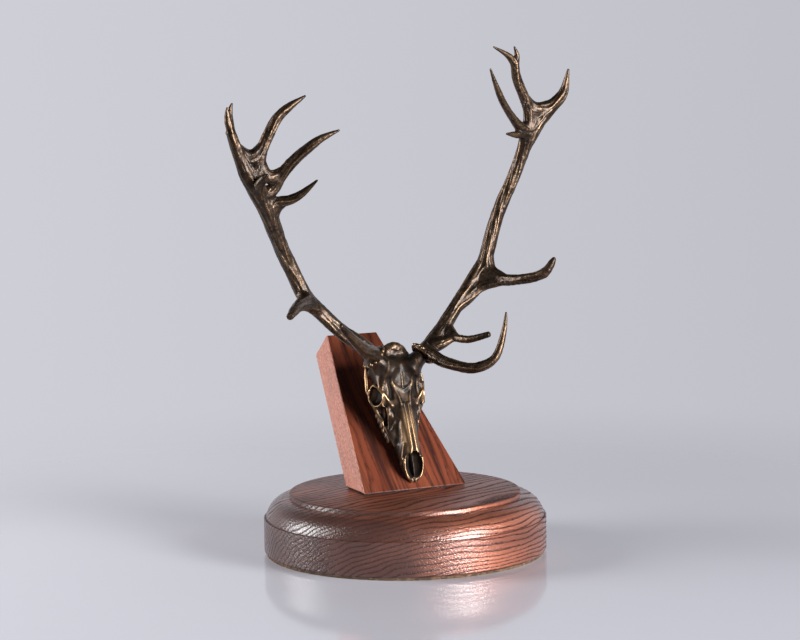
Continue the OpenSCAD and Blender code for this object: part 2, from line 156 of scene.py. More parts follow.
def spread(tree, value, low, high, to_low=0.0, to_high=1.0):
    """Maps a value from one range to another, clamped."""
    made = add(tree, "MapRange", {"Value": value, "From Min": low, "From Max": high,
                                  "To Min": to_low, "To Max": to_high})
    return made.outputs["Result"]


print("node helpers ready")

# %% Build colours and materials
def ramp(tree, value, stops):
    """A colour ramp; stops are (place, colour) from low to high."""
    made = add(tree, "ValToRGB", {"Fac": value})
    elements = made.color_ramp.elements
    while len(elements) < len(stops):
        elements.new(0.5)
    for element, (place, colour) in zip(elements, stops):
        element.position = place
        element.color = (*colour, 1)
    return made.outputs["Color"]


def mix(tree, share, a, b):
    """Mixes two colours by a share."""
    a, b = [c if isinstance(c, bpy.types.NodeSocket) else (*c, 1) for c in (a, b)]
    # A mix node has its colours in the inputs 6 and 7 and puts the result out at 2.
    return add(tree, "Mix", {"Factor": share, 6: a, 7: b}, data_type="RGBA").outputs[2]


def noise_value(tree, point, scale, detail):
    """Noise from 0 to 1, with about scale bumps to a unit of the point."""
    made = add(tree, "TexNoise", {"Vector": point, "Scale": scale, "Detail": detail})
    return made.outputs["Fac"]


def object_point(tree):
    """The point of the surface in the object's own coordinates."""
    return add(tree, "TexCoord").outputs["Object"]


def stored(tree, name):
    """A value that was stored on the mesh."""
    return add(tree, "Attribute", attribute_name=name).outputs["Fac"]


def new_material(name):
    """A material with its node tree and its Principled BSDF."""
    material = bpy.data.materials.new(name)
    material.use_nodes = True
    tree = material.node_tree
    return material, tree, tree.nodes["Principled BSDF"]


def wear(piece, material):
    """Gives a piece one material."""
    piece.data.materials.clear()
    piece.data.materials.append(material)


print("material helpers ready")

# %% [markdown]
# ## Where the plaque and the skull stand
#
# Two tilted frames are used again and again: the plaque leans back on the base, and the skull is
# tilted on the plaque.  Each is a matrix that turns points measured from the foot of the board, or
# from the nose, into places in the scene.

# %% Set up the tilted frames
SLOPE = math.radians(45)
FACE_TILT = math.radians(26)
NOSE_UP = 3 * MM
NOSE_GAP = 0.5 * MM
plaque_low, plaque_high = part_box("plaque")
plaque_foot = Vector(((plaque_low.x + plaque_high.x) / 2, plaque_low.y, plaque_low.z))
on_plaque = Matrix.Translation(plaque_foot) @ Matrix.Rotation(SLOPE, 4, "X")
on_skull = (on_plaque @ Matrix.Translation((0, NOSE_UP, NOSE_GAP))
            @ Matrix.Rotation(FACE_TILT, 4, "X"))
print("nose at", [round(c / MM, 1) for c in on_skull.translation], "mm")

# %% [markdown]
# ## Casting the bronze
#
# The skull and the antlers are castings: in the CAD model they are unions of many tapering limbs,
# with sharp creases where the limbs meet.  Real cast metal has none.  A copy of each CAD mesh is
# merged, remeshed into small even faces, and then settled: creases fill up as wax does in a mould,
# and facet edges wear down.  Filling only where the surface is hollow keeps the thin tips sharp.
# Two openings are cut first, because thin bone is easier to cut than to model: the leaf shaped
# opening of the nose, with its septum put back, and the slit between two points of the left antler.

# %% Copy the castings
MERGE_GAP = 0.002 * MM


def merged_copy(node, name):
    """A merged copy of a CAD node, as a new object at the origin."""
    piece = bpy.data.objects.new(name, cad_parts[node].data.copy())
    bpy.context.scene.collection.objects.link(piece)
    only(piece)
    bpy.ops.object.mode_set(mode="EDIT")
    bpy.ops.mesh.select_all(action="SELECT")
    bpy.ops.mesh.remove_doubles(threshold=MERGE_GAP)
    bpy.ops.object.mode_set(mode="OBJECT")
    return piece


def combine(piece, tool, operation):
    """Cuts a tool shape out of a piece or joins it on, and deletes the tool."""
    apply_modifier(piece, "BOOLEAN", object=tool, operation=operation, solver="EXACT")
    bpy.data.objects.remove(tool)


castings = {node: merged_copy(node, "bronze_" + node)
            for node in ("skull", "left_antler", "right_antler")}
print("copied", list(castings))

# %% Open the nose and put the septum back
NOSE_OPENING = Vector((0, 6.5, 3.1)) * MM
NOSE_HALF = (3.7 * MM, 6.0 * MM, 3.7 * MM)
SEPTUM = Vector((0, 7, 0.6)) * MM
SEPTUM_HALF = (0.6 * MM, 5.6 * MM, 1.6 * MM)
EGG_TAPER = 0.2


def egg(place, half):
    """An egg on the skull, narrower towards the nose, with three half sizes."""
    bpy.ops.object.select_all(action="DESELECT")
    bpy.ops.mesh.primitive_uv_sphere_add(segments=48, ring_count=24, radius=1)
    shape = bpy.context.active_object
    for vertex in shape.data.vertices:
        if vertex.co.y < 0:
            vertex.co.x *= 1 - EGG_TAPER * vertex.co.y ** 2
    shape.data.transform(on_skull @ Matrix.Translation(place) @ Matrix.Diagonal((*half, 1)))
    return shape


combine(castings["skull"], egg(NOSE_OPENING, NOSE_HALF), "DIFFERENCE")
combine(castings["skull"], egg(SEPTUM, SEPTUM_HALF), "UNION")
print("skull:", len(castings["skull"].data.vertices), "points with its nose open")

# %% Slit the end of the left beam
CORONET = Vector((9.9, 49.4, 4.4)) * MM
SLIT_LOW = Vector((62.9, -8.2, 90.5))
SLIT_HIGH = Vector((63.2, -9.6, 102))
SLIT_WIDE = 0.75
SLIT_END = 0.02
SLIT_DEEP = 5


def antler_foot(side):
    """The middle of a coronet: side is -1 on the left and 1 on the right."""
    return on_skull @ Vector((side * CORONET.x, CORONET.y, CORONET.z))


bpy.ops.object.select_all(action="DESELECT")
bpy.ops.mesh.primitive_cube_add(size=2)
slit = bpy.context.active_object
for vertex in slit.data.vertices:
    across_slit, deep, top = vertex.co
    middle = SLIT_HIGH if top > 0 else SLIT_LOW
    half = SLIT_WIDE if top > 0 else SLIT_END
    spot = middle + Vector((across_slit * half, 0, 0))
    outward = Vector((-spot.x, spot.y, spot.z)) * MM
    vertex.co = antler_foot(-1) + outward + away * deep * SLIT_DEEP * MM
combine(castings["left_antler"], slit, "DIFFERENCE")
print("left antler:", len(castings["left_antler"].data.vertices), "points with its slit")

# %% Remesh the castings
VOXEL = 0.28 * MM
for node, piece in castings.items():
    apply_modifier(piece, "REMESH", mode="VOXEL", voxel_size=VOXEL)
    bpy.ops.object.shade_smooth()
    print(node, len(piece.data.vertices), "points after the remesh")

# %% [markdown]
# ## A surface to shape
#
# Sculpting by code needs the points of a mesh as one array, with the neighbours of each point.
# Settling moves every point part of the way to the mean of its neighbours, with one share for
# hollows and another for edges.

# %% Hold a mesh as points and neighbours
class Surface:
    """The points of a mesh with their neighbours, for shaping steps over the whole surface."""

    def __init__(self, piece):
        self.mesh = piece.data
        self.count = len(self.mesh.vertices)
        places = np.empty(self.count * 3, np.float32)
        self.mesh.vertices.foreach_get("co", places)
        self.places = places.reshape(-1, 3).astype(float)
        pairs = np.empty(len(self.mesh.edges) * 2, np.int32)
        self.mesh.edges.foreach_get("vertices", pairs)
        pairs = pairs.reshape(-1, 2)
        self.start = np.concatenate([pairs[:, 0], pairs[:, 1]])
        self.end = np.concatenate([pairs[:, 1], pairs[:, 0]])
        self.degree = np.maximum(np.bincount(self.start, minlength=self.count), 1)

    def mean(self, values):
        """The mean of each point's neighbours."""
        if values.ndim == 1:
            return np.bincount(self.start, values[self.end], self.count) / self.degree
        return np.stack([self.mean(column) for column in values.T], 1)

    def soften(self, values, rounds):
        """Spreads values to their neighbours."""
        for _ in range(rounds):
            values = 0.5 * values + 0.5 * self.mean(values)
        return values

    def store(self):
        """Writes the points back to the mesh."""
        self.mesh.vertices.foreach_set("co", self.places.astype(np.float32).ravel())
        self.mesh.update()

    def normals(self):
        """Normals of the points as they are placed now."""
        self.store()
        found = np.empty(self.count * 3, np.float32)
        self.mesh.vertex_normals.foreach_get("vector", found)
        return found.reshape(-1, 3).astype(float)

    def settle(self, rounds, fill, ease, share=1.0):
        """Fills hollows and eases edges, each by its own part of the way to the mean."""
        for step in range(rounds):
            if step % 4 == 0:
                normal = self.normals()
            pull = self.mean(self.places) - self.places
            hollow = (pull * normal).sum(1) > 0
            self.places += (np.where(hollow, fill, ease) * share)[:, None] * pull
        self.store()

    def swell(self, height):
        """Moves the points along their normals."""
        self.places += self.normals() * np.asarray(height).reshape(-1, 1)
        self.store()

    def bend(self, rounds):
        """How sharply the surface bends outwards at each point, per millimetre."""
        height = ((self.places - self.soften(self.places, rounds)) * self.normals()).sum(1)
        return height / (rounds * VOXEL ** 2 / 8) * MM


print("surface ready, with points about", VOXEL / MM, "mm apart")

# %% Make smooth steps and speckle
SPECKLE_WAY = np.array([12.9898, 78.233, 37.719])
SPECKLE_GAIN = 43758.5453


def smooth_step(values, low, high):
    """0 up to low, 1 from high on, and a smooth rise between."""
    share = np.clip((values - low) / (high - low), 0, 1)
    return share * share * (3 - 2 * share)


def speckle(places, size):
    """A repeatable random value from 0 to 1 for each cell of that size."""
    wave = np.sin(np.floor(places / size) @ SPECKLE_WAY) * SPECKLE_GAIN
    return wave - np.floor(wave)


def grains(surface, size):
    """Softened speckle, with a mean of zero and a spread of one."""
    grain = surface.soften(speckle(surface.places, size), 4)
    return (grain - grain.mean()) / grain.std()


print("steps and speckle ready")

# %% [markdown]
# ## Furrows along the antlers
#
# Antlers are furrowed lengthwise.  To know which way is lengthwise, each point looks at the
# normals around it: they turn about a limb and not along it, so the direction in which they vary
# least is the limb's own.  Each point then walks some millimetres both ways along that direction
# and takes the mean of the random speckle on its way, which draws long furrows that follow every
# bend and fork.

# %% Find the limb's direction
def limb_direction(surface, reach):
    """For each point, the direction in which the normals around it vary least."""
    normal = surface.normals()
    parts = [(0, 0), (0, 1), (0, 2), (1, 1), (1, 2), (2, 2)]
    spreads = np.stack([normal[:, i] * normal[:, j] for i, j in parts], 1)
    spreads = surface.soften(spreads, reach)
    tensor = np.empty((surface.count, 3, 3))
    for column, (i, j) in enumerate(parts):
        tensor[:, i, j] = spreads[:, column]
        tensor[:, j, i] = spreads[:, column]
    return np.linalg.eigh(tensor)[1][:, :, 0]


print("limb direction ready")

# %% Walk along the limb
MOST_NEIGHBOURS = 8


def neighbour_table(surface):
    """The neighbours of each point in a row, filled up with the point itself."""
    order = np.argsort(surface.start, kind="stable")
    start, end = surface.start[order], surface.end[order]
    rank = np.arange(len(start)) - np.searchsorted(start, start)
    table = np.repeat(np.arange(surface.count)[:, None], MOST_NEIGHBOURS, 1)
    kept = rank < MOST_NEIGHBOURS
    table[start[kept], rank[kept]] = end[kept]
    return table


def walked_mean(surface, direction, values, steps):
    """The mean of values on a walk both ways along a direction, scaled to a spread of one."""
    table = neighbour_table(surface)
    normal = surface.normals()
    rows = np.arange(surface.count)
    total = values.copy()
    for way in (1, -1):
        at = rows
        ahead = direction * way
        aim = surface.places.copy()
        for _ in range(steps):
            aim = aim + ahead * VOXEL
            near = table[at]
            gap = ((surface.places[near] - aim[:, None]) ** 2).sum(2)
            at = near[rows, gap.argmin(1)]
            off = aim - surface.places[at]
            aim = aim - normal[at] * (off * normal[at]).sum(1)[:, None]
            turned = direction[at]
            ahead = turned * np.where((turned * ahead).sum(1) < 0, -1, 1)[:, None]
            total += values[at]
    total -= total.mean()
    return total / total.std()


print("walk ready")

# %% Furrow and pearl
LIMB_REACH = 60
SPECK = 0.3 * MM
WIDE_WALK = 30
FINE_WALK = 16
PEARL = 0.9 * MM


def furrow(surface, wide_depth, fine_depth, share):
    """Presses long furrows of two widths into an antler."""
    direction = limb_direction(surface, LIMB_REACH)
    speck = speckle(surface.places, SPECK)
    wide = walked_mean(surface, direction, surface.soften(speck, 8), WIDE_WALK)
    fine = walked_mean(surface, direction, surface.soften(speck, 1), FINE_WALK)
    depth = wide_depth * np.clip(wide, -2, 2) + fine_depth * np.clip(fine, -2, 2)
    surface.swell(depth * share)


def pearl(surface, height):
    """Raises small grains, the pearls of an antler."""
    surface.swell(height * np.clip(grains(surface, PEARL), 0, 2.5))


print("furrow tools ready")

# %% [markdown]
# ## Strokes and pulls
#
# Two more tools work as a modelling knife and two fingers do in wax.  A stroke raises or presses the
# surface along a line; a pull moves everything near a point.  Lines and points are in millimetres
# in a piece's own frame: an antler's starts at the middle of its coronet and runs outwards, back
# and up.

# %% Draw strokes
def stroke(surface, points, line, width, height):
    """Raises a surface along a line; a negative height presses a groove."""
    line = np.array(line, float)
    reach = np.full(surface.count, np.inf)
    for a, b in zip(line, line[1:]):
        run = b - a
        share = np.clip(((points - a) @ run) / (run @ run), 0, 1)
        gap = np.linalg.norm(points - a - share[:, None] * run, axis=1)
        reach = np.minimum(reach, gap)
    surface.swell(height * MM * smooth_step(-reach, -width, 0))


def nearness(points, spot, inner, outer):
    """1 within the inner distance of a spot, 0 beyond the outer distance."""
    return 1 - smooth_step(np.linalg.norm(points - np.array(spot), axis=1), inner, outer)


print("stroke tools ready")

# %% Shape the antlers
LEFT_BROW = [(3, -3, 2.5), (8, -10.5, 4.5), (16.5, -20.5, 8), (22.5, -28.5, 12.5)]
LEFT_SPUR = [(50, -6.5, 67.5), (52, -9.3, 70.3), (51.5, -12, 72.3)]
LEFT_PALM = [(53.8, -6.5, 75.5), (54.5, -6.5, 79)]
PALM_PIT = (54.2, -6.5, 77.5)
RIGHT_BEZ = [(13.5, -6, 6.8), (15.5, -11, 6.5), (20.5, -18.5, 9)]
RIGHT_TREZ = [(43.5, -22, 32), (46, -23.5, 36)]
left_strokes = [(LEFT_BROW, 6, 0.5), (LEFT_SPUR, 4, 0.9), (LEFT_PALM, 3, 1.8)]
right_strokes = [(RIGHT_BEZ, 3, 0.4), (RIGHT_TREZ, 4, 0.7)]
# Each pull is a point, how far it reaches and how far it moves.
left_pulls = [((22.5, -28.5, 12.5), 14, (6, 0, 5)), ((64, -10, 98.5), 5, (0.7, 0, 0.8))]
WIDE_FURROW = 0.09 * MM
FINE_FURROW = 0.04 * MM
PEARL_HEIGHT = 0.04 * MM


def in_antler(surface, side):
    """The points in an antler's own frame, in millimetres, the left one mirrored."""
    return (surface.places - np.array(antler_foot(side))) * np.array([side, 1, 1]) / MM


for node, side, strokes, pulls in (("left_antler", -1, left_strokes, left_pulls),
                                   ("right_antler", 1, right_strokes, [])):
    surface = Surface(castings[node])
    # The thin tips bend most, and they are left out so that they don't melt away.
    body = 1 - smooth_step(surface.bend(30), 0.3, 0.7)
    for line, width, height in strokes:
        stroke(surface, in_antler(surface, side), line, width, height)
    # The creases fill up, then the facets ease, and then the palm of the crown evens out.
    surface.settle(160, 0.6, 0.02, body)
    surface.settle(6, 0.4, 0.4, body)
    surface.settle(120, 0.6, 0.15, nearness(in_antler(surface, side), PALM_PIT, 2.5, 5) * body)
    for spot, reach, move in pulls:
        share = nearness(in_antler(surface, side), spot, 0, reach)
        surface.places += share[:, None] * np.array(move) * np.array([side, 1, 1]) * MM
    furrow(surface, WIDE_FURROW, FINE_FURROW, body)
    pearl(surface, PEARL_HEIGHT)
    surface.settle(2, 0.3, 0.3)
    castings[node + "_surface"] = surface
    print(node, "shaped and furrowed,", surface.count, "points")

# %% [markdown]
# ## Sculpting the skull
#
# The CAD skull has the right bones in the right places, but its ridges are plain rods and its
# pedicles plain cones.  First the creases fill up and the feet of the pedicles melt into the
# forehead.  Then strokes along short lines raise seams and edges and press hollows, as a
# modelling tool does in wax.  Every line is drawn once, in millimetres from the nose, and mirrored.

# %% Melt the rods and cones together
skull = Surface(castings["skull"])
skull_turn = np.array(on_skull.to_3x3())
skull_nose = np.array(on_skull.translation)


def in_skull():
    """The points in the skull's own frame, in millimetres, both halves folded onto the right."""
    points = (skull.places - skull_nose) @ skull_turn / MM
    points[:, 0] = np.abs(points[:, 0])
    return points


ORBIT = (10.7, 35, 0)
NOSTRIL = (0, 6.5, 2)
TOOTH_ROW = (6.5, 24, -6)
PEDICLE_FOOT = (4, 44.2, 5)
open_parts = np.maximum.reduce([nearness(in_skull(), ORBIT, 4.2, 6),
                                nearness(in_skull(), NOSTRIL, 5.5, 7.5),
                                nearness(in_skull(), TOOTH_ROW, 4, 6)])
# The creases fill up but for the openings, then the pedicles melt, and then all of it eases.
skull.settle(150, 0.6, 0.02, 1 - open_parts)
skull.settle(220, 0.5, 0.5, nearness(in_skull(), PEDICLE_FOOT, 5, 8.5))
skull.settle(8, 0.4, 0.4)
print("skull melted,", skull.count, "points")

# %% Thin the rim of the eye and widen the nape
EYE_AXIS = Vector((0.9, -0.1, 0.42)).normalized()
EYE_R = 3.6
EYE_TOP = (10.9, 38.6, -0.2)
EYE_LIFT = np.array([0, 1.1, 0.2])
NAPE = [(7.5, 50, 0.5), (3.6, 53, 1), (0, 54.2, 1.5)]
NAPE_SIDE = (2, 53, 0)
NAPE_GRAIN = 0.8 * MM
NAPE_ROUGH = 0.07 * MM
TEMPLE_WALL = [(8.6, 48, 2.5), (9, 45, 1.5), (8.8, 42, 0.5)]
CHEEK_ARCH = [(12.2, 37.5, -3), (12.2, 41, -2.8), (11.4, 46, -3)]
eye_up = Vector((0, 1, 0)).cross(EYE_AXIS).normalized()
eye_side = EYE_AXIS.cross(eye_up)
eye_ring = [Vector(ORBIT) + EYE_R * (eye_up * math.cos(a) + eye_side * math.sin(a))
            for a in np.linspace(0, 2 * math.pi, 25)]
stroke(skull, in_skull(), eye_ring, 1.7, -0.7)
lift = nearness(in_skull(), EYE_TOP, 0.4, 3)
skull.places += lift[:, None] * (skull_turn @ EYE_LIFT) * MM
stroke(skull, in_skull(), NAPE, 4, 1.1)
stroke(skull, in_skull(), TEMPLE_WALL, 4.5, 1.4)
stroke(skull, in_skull(), CHEEK_ARCH, 1.8, 0.3)
rough = np.clip(grains(skull, NAPE_GRAIN), -2, 2)
skull.swell(NAPE_ROUGH * rough * nearness(in_skull(), NAPE_SIDE, 4, 7))
print("eye thinned, nape widened")

# %% Draw the seams, edges and hollows
temple_hollow = [(9.6, 47, 4.5), (9.8, 44, 2.5)]
temple_edge = [(6, 47.5, 6.6), (6.6, 44.6, 6.2), (7.4, 42, 5), (7.8, 40, 3.4)]
brow_groove = [(5.6, 41, 4.6), (5.4, 39, 3.7), (5.2, 36.8, 3.5), (5.4, 34, 3.3)]
brow_rim = [(8.4, 38.5, 3.4), (8.6, 36, 3.4), (6.8, 33, 2.8), (5.6, 30.8, 2.9)]
tear_slot = [(8.1, 31.2, 2.3), (7.2, 28.8, 0), (6.9, 26.2, -1.4), (7.1, 24.3, -2.2)]
tear_edge = [(6.6, 30.7, 1.9), (6.7, 27.5, 1.4), (6.3, 24.8, -0.8), (6, 22.1, -2)]
tear_pit = [(5.6, 29, 2.1), (4.9, 27.7, 2.1), (4.6, 26.2, 1.9)]
cheek_seam = [(4.6, 26.9, 2.1), (4.9, 24.1, 1.5), (5.4, 22.1, -0.3), (5.7, 21.4, -1.7)]
cheek_hollow = [(4, 24.2, 2.7), (4.2, 21.5, 2.1), (4.1, 18.7, 1.8), (4.4, 16.9, 0.7)]
muzzle_swell = [(3.2, 14.7, 3.2), (3.7, 11.7, 2.1), (4.3, 8, 0.8)]
nasal_edge = [(3.9, 38.3, 3.6), (3.2, 36.2, 3.6), (2.4, 33.8, 3.9), (2, 31, 3.9)]
brow_seam = [(5.1, 39.6, 3.7), (4, 38.9, 3.6), (2.5, 37.6, 3.6), (0, 36.4, 3.6)]
forehead_seam = [(0, 46.5, 5.2), (0, 43.9, 4.6), (0, 40.8, 4.1), (0, 37.6, 3.7)]
nasal_ridge = [(0.9, 31, 3.9), (0.7, 26, 4.2), (0.8, 20, 4.5), (0.9, 13, 4.8)]
bridge_groove = [(0, 21, 4.4), (0, 18, 4.6), (0, 14, 4.8), (0, 9.5, 5.1)]
forehead_hollow = [(2.8, 43, 4.4), (2.9, 40.5, 4)]
nose_notch = [(0, 0, 0.3), (0, 1.6, 1.2)]

for line, width, height in (
        (temple_hollow, 2.4, -0.5), (temple_edge, 0.9, 0.3), (brow_groove, 1.3, -0.8),
        (brow_rim, 1.0, 0.4), (tear_slot, 1.1, -1.5), (tear_edge, 0.7, 0.4), (tear_pit, 0.9, -0.8),
        (cheek_seam, 0.5, 0.3), (cheek_hollow, 1.6, -0.5), (muzzle_swell, 1.6, 0.5),
        (nasal_edge, 0.9, 0.22), (brow_seam, 1.3, 0.3), (forehead_hollow, 2.0, -0.3),
        (forehead_seam, 0.6, 0.3), (nasal_ridge, 0.9, 0.35), (bridge_groove, 0.6, -0.6),
        (nose_notch, 0.7, -0.5)):
    stroke(skull, in_skull(), line, width, height)
skull.settle(3, 0.3, 0.3)
castings["skull_surface"] = skull
print("skull sculpted")

# %% [markdown]
# ## Where the patina is rubbed
#
# The dark patina stays in hollows and is rubbed to bright metal on raised edges.  How sharply the
# surface bends tells both apart, so two values are stored on the points for the material.  Some
# places follow other rules: the bridge of the nose and the rims of the eyes are rubbed most, and the
# gold on the bridge is partly a painted highlight; the forehead, the nape and the palm of the left
# crown keep more patina, the thin tips keep nearly all of it, and the insides of the eyes and of the
# nose get painted shade, set fully hollow so that they turn black.

# %% Find the eyes, the nose and the worn places
NOSE_BRIDGE = np.array([0, 18, 4.0])
NOSE_STRETCH = np.array([0.7, 0.25, 0.7])
FOREHEAD = (0, 43, 4.5)
NAPE_TOP = (0, 54, 1)
points = in_skull()
from_eye = points - np.array(ORBIT)
eye_depth = from_eye @ np.array(EYE_AXIS)
eye_radius = np.linalg.norm(from_eye - eye_depth[:, None] * np.array(EYE_AXIS), axis=1)
# Behind its rim, the inside of the eye is wider.
eye_wall = EYE_R - 0.9 + 1.2 * smooth_step(-eye_depth, 0.2, 1.4)
in_eye = 1 - smooth_step(eye_radius - eye_wall, 0, 0.5)
on_rim = 1 - smooth_step(np.hypot(eye_radius - EYE_R - 0.2, eye_depth / 2 - 0.3), 0.5, 1.2)
from_opening = (points * MM - np.array(NOSE_OPENING)) / np.array(NOSE_HALF)
in_nose = 1 - smooth_step(np.linalg.norm(from_opening, axis=1), 0.95, 1.06)
beside_septum = in_nose * smooth_step(points[:, 0], 0.6, 1.0)
on_bridge = nearness(points * NOSE_STRETCH, NOSE_BRIDGE * NOSE_STRETCH, 0.8, 3.4)
on_forehead = nearness(points, FOREHEAD, 4, 9)
on_nape = nearness(points, NAPE_TOP, 5, 8)
print(int(in_eye.sum()), "points in the eyes,", int(in_nose.sum()), "in the nose")

# %% Store how raised and how hollow each point is
ANTLER_RUBBED = 0.7
TIP_PATINA = 0.66
PALM_PATINA = 0.85
feet = {"left_antler": np.array(antler_foot(-1)), "right_antler": np.array(antler_foot(1))}
palm = feet["left_antler"] + np.array(PALM_PIT) * np.array([-1, 1, 1]) * MM


def store_value(piece, name, values):
    """Stores one value per point as an attribute."""
    layer = piece.data.attributes.new(name, "FLOAT", "POINT")
    layer.data.foreach_set("value", values.astype(np.float32))


for node, rubbed_from in (("skull", 0.45), ("left_antler", 0.4), ("right_antler", 0.4)):
    surface = castings.pop(node + "_surface")
    near = surface.bend(4)
    wide = surface.bend(40)
    raised = smooth_step(0.5 * near + 1.0 * wide, rubbed_from, rubbed_from + 1.2)
    hollow = smooth_step(-0.5 * near - 1.2 * wide, 0.1, 1.0)
    if node == "skull":
        # Painted shade: the insides of the eyes, and of the nose beside the septum, are set fully
        # hollow so that they turn black.
        hollow = np.maximum.reduce([hollow, in_eye, beside_septum, 0.4 * on_forehead])
        # The bridge of the nose is rubbed gold, partly as a painted highlight; the rims of the eyes
        # are rubbed.
        raised = np.maximum.reduce([raised, 0.8 * on_bridge, 0.8 * on_rim])
        raised *= 1 - np.maximum.reduce([in_eye, in_nose, 0.7 * on_nape])
    else:
        from_foot = np.linalg.norm(surface.places - feet[node], axis=1) / MM
        on_tip = smooth_step(wide, 0.4, 0.8) * smooth_step(from_foot, 12, 22)
        raised *= ANTLER_RUBBED - TIP_PATINA * on_tip
        raised *= 1 - PALM_PATINA * nearness(surface.places / MM, palm / MM, 5, 11)
    store_value(castings[node], "raised", raised)
    store_value(castings[node], "hollow", hollow)
    print(node, "bends from", round(near.min(), 2), "to", round(near.max(), 2), "per mm")

# %% [markdown]
# ## Bronze
#
# Patinated bronze is nearly black in its hollows, brown on its open faces and golden where hands and
# cloth have rubbed it.  Wax gives the whole a soft sheen.  It could be painted by hand; here the two
# stored values mix the colours, so that the wear follows the shape on every side.  The same values
# also paint the shade inside the eyes and the nose black, and a highlight in gold on the bridge of
# the nose.

# %% Build the bronze
DARK_BROWN = (0.018, 0.013, 0.010)
BROWN = (0.070, 0.043, 0.028)
GOLD = (0.50, 0.305, 0.160)
# Black for the patina in hollows, and painted shade inside the eyes and the nose.
PATINA_AND_SHADE_BLACK = (0.010, 0.008, 0.007)


def bronze_material():
    """Brown metal, golden where it is raised and black where it is hollow, with painted shade in the
    eyes and the nose.
    """
    material, tree, shader = new_material("patinated_bronze")
    raised = stored(tree, "raised")
    hollow = stored(tree, "hollow")
    at = object_point(tree)
    mottle = noise_value(tree, at, 350, 6)
    grit = noise_value(tree, at, 2600, 3)
    rubbed = times(tree, raised, spread(tree, grit, 0.3, 0.6, 0.55, 1.0))
    brown = ramp(tree, mottle, [(0.35, DARK_BROWN), (0.68, BROWN)])
    metal = spread(tree, rubbed, 0, 1, 0.8, 1.0)
    rough = spread(tree, rubbed, 0, 1, 0.42, 0.33)
    bump = add(tree, "Bump", {"Height": grit, "Strength": 0.25, "Distance": 0.1 * MM})
    # The hollow value also paints shade in the eyes and the nose, and the rubbed value paints a
    # highlight on the bridge of the nose.
    feed(tree, shader, {
        "Base Color": mix(tree, hollow, mix(tree, rubbed, brown, GOLD), PATINA_AND_SHADE_BLACK),
        "Metallic": math_node(tree, "SUBTRACT", metal, times(tree, hollow, 0.8), clamp=True),
        "Roughness": math_node(tree, "ADD", rough, times(tree, hollow, 0.2)),
        "Normal": bump.outputs["Normal"],
        "Coat Weight": spread(tree, hollow, 0, 1, 0.2, 0.0),
        "Coat Roughness": 0.2,
        "Specular IOR Level": 0.15})
    return material


bronze = bronze_material()
for node, piece in castings.items():
    wear(piece, bronze)
    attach(piece, "root")
    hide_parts(node)
print("bronze on", len(castings), "castings")

# %% [markdown]
# ## Wood with growth rings
#
# A board shows its growth rings as lines on every face that cuts them.  One node group draws them
# in space: rings around a pith line, bent by noise, each starting with a dark row of open pores.
# Each wood places the group with its own pith, spacing and colours.

# %% Build the growth ring group
def growth_rings():
    """A group that takes a point in millimetres, x along the grain, from the pith."""
    group = bpy.data.node_groups.new("growth_rings", "ShaderNodeTree")
    for name, kind in (("Point", "NodeSocketVector"), ("Spacing", "NodeSocketFloat"),
                       ("Wander", "NodeSocketFloat")):
        group.interface.new_socket(name, in_out="INPUT", socket_type=kind)
    for name in ("Early", "Pores", "Fibre", "Tone", "Streak"):
        group.interface.new_socket(name, in_out="OUTPUT", socket_type="NodeSocketFloat")
    given = group.nodes.new("NodeGroupInput")
    result = group.nodes.new("NodeGroupOutput")
    point = given.outputs["Point"]

    def grain(lengthwise, crosswise, detail):
        """Noise with its own counts per millimetre along and across the grain."""
        scaled = add(group, "VectorMath", {0: point, 1: (lengthwise, crosswise, crosswise)},
                     operation="MULTIPLY").outputs[0]
        return noise_value(group, scaled, 1.0, detail)

    flat = add(group, "VectorMath", {0: point, 1: (0, 1, 1)}, operation="MULTIPLY").outputs[0]
    radius = add(group, "VectorMath", {0: flat}, operation="LENGTH").outputs["Value"]
    bend = math_node(group, "SUBTRACT", grain(0.025, 0.07, 1.5), 0.5)
    bent = math_node(group, "ADD", radius, times(group, bend, given.outputs["Wander"]))
    turns = math_node(group, "DIVIDE", bent, given.outputs["Spacing"])
    ring = add(group, "Math", {0: turns}, operation="FRACT").outputs[0]
    early = times(group, spread(group, ring, 0.45, 0.1), spread(group, ring, 0.0, 0.06))
    rows = spread(group, grain(0.3, 4.5, 2), 0.45, 0.62)
    pores = times(group, rows, spread(group, early, 0.0, 0.6, 0.12, 1.0))
    streak = spread(group, grain(0.012, 0.33, 4), 0.52, 0.66)
    feed(group, result, {"Early": early, "Pores": pores, "Fibre": grain(0.12, 6, 3),
                         "Tone": grain(0.015, 0.09, 2), "Streak": streak})
    return group


RINGS = growth_rings()
print("ring group with", len(RINGS.nodes), "nodes")

# %% Place the rings under a lacquer
def ringed(tree, turn_by, pith, spacing, wander):
    """Places the growth rings: the grain is turned to x, and the pith moved to the origin."""
    placed = add(tree, "Mapping", {"Vector": object_point(tree), "Location": [-c for c in pith],
                                   "Rotation": turn_by, "Scale": (1 / MM,) * 3})
    point = placed.outputs["Vector"]
    group = add(tree, "Group", {"Point": point, "Spacing": spacing, "Wander": wander},
                node_tree=RINGS)
    return point, group.outputs


def lacquered(tree, point, rings, fibre_depth, peel_depth):
    """The relief of lacquered wood: fibres and pores under a slightly pebbled coat."""
    height = math_node(tree, "SUBTRACT", rings["Fibre"], rings["Pores"])
    fibres = add(tree, "Bump", {"Height": height, "Strength": 1.0, "Distance": fibre_depth})
    pebbles = noise_value(tree, point, 1.3, 1)
    made = add(tree, "Bump", {"Height": pebbles, "Strength": 1.0, "Distance": peel_depth,
                              "Normal": fibres.outputs["Normal"]})
    return made.outputs["Normal"]


def layered(tree, wood, layers):
    """Mixes layers over a wood, each a mask, its strength and its colour."""
    for mask, strength, colour in layers:
        wood = mix(tree, times(tree, mask, strength), wood, colour)
    return wood


print("wood helpers ready")

# %% [markdown]
# ## The turned base
#
# The base is turned on a lathe: an upright band, a fine ledge, a rounded shoulder and a low disc
# with a small rim.  A cylinder is added for the band, and its top face is extruded and scaled step
# by step up the profile, as a lathe tool would follow it.

